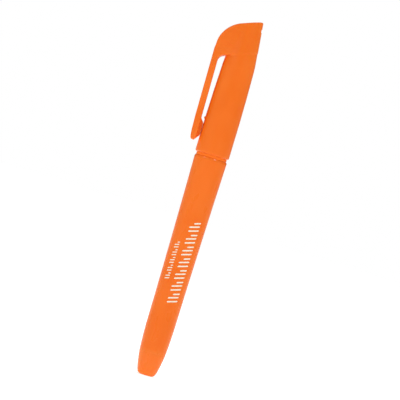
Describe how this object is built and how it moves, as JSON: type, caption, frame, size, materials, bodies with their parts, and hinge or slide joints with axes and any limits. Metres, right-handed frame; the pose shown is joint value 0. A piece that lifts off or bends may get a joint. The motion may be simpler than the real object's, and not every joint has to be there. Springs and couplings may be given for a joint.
{
  "type": "capped pocket highlighter",
  "caption": "Slim highlighter pen with a tapered translucent barrel, a chisel nib and a pull-off cap that has a slanted top and a springy pocket clip.",
  "frame": {"origin": "centre of the flat tail end", "axes": "+Z along the pen from the tail to the top of the cap, the clip on the -X side, the printed strokes facing -Y"},
  "size_m": [0.0174, 0.0132, 0.14],
  "materials": {
    "barrel_plastic": "translucent fluorescent orange, smooth moulded",
    "tail_plastic": "lighter translucent fluorescent orange",
    "holder_plastic": "fluorescent orange, smooth moulded",
    "cap_plastic": "translucent fluorescent orange, soft gloss",
    "liner_plastic": "natural translucent white",
    "nib_fibre": "porous fibre soaked with orange ink",
    "reservoir_fibre": "bundled fibre soaked with orange ink",
    "film_plastic": "clear film tinted by the ink",
    "breather_plastic": "natural white",
    "print_white": "white pad-printed ink"
  },
  "bodies": {
    "barrel": {"barrel": "barrel_plastic", "tail_plug": "tail_plastic", "nib_holder": "holder_plastic", "chisel_nib": "nib_fibre", "reservoir_core": "reservoir_fibre", "reservoir_film": "film_plastic", "breather_tube": "breather_plastic", "barrel_print": "print_white"},
    "inner_cap": {"inner_cap": "liner_plastic"},
    "cap": {"cap_shell": "cap_plastic"},
    "clip": {"pocket_clip": "cap_plastic"}
  },
  "joints": [
    {"name": "cap_pull", "type": "slide", "parent": "barrel", "child": "inner_cap", "axis": [0, 0, 1], "range_m": [0, 0.045]},
    {"name": "cap_turn", "type": "hinge", "parent": "inner_cap", "child": "cap", "pos_m": [0, 0, 0.0865], "axis": [0, 0, 1], "continuous": true},
    {"name": "clip_flex", "type": "hinge", "parent": "cap", "child": "clip", "pos_m": [-0.00955, 0, 0.1257], "axis": [0, 1, 0], "range_deg": [0, 4.5], "stiffness_Nm_per_rad": 0.5}
  ]
}
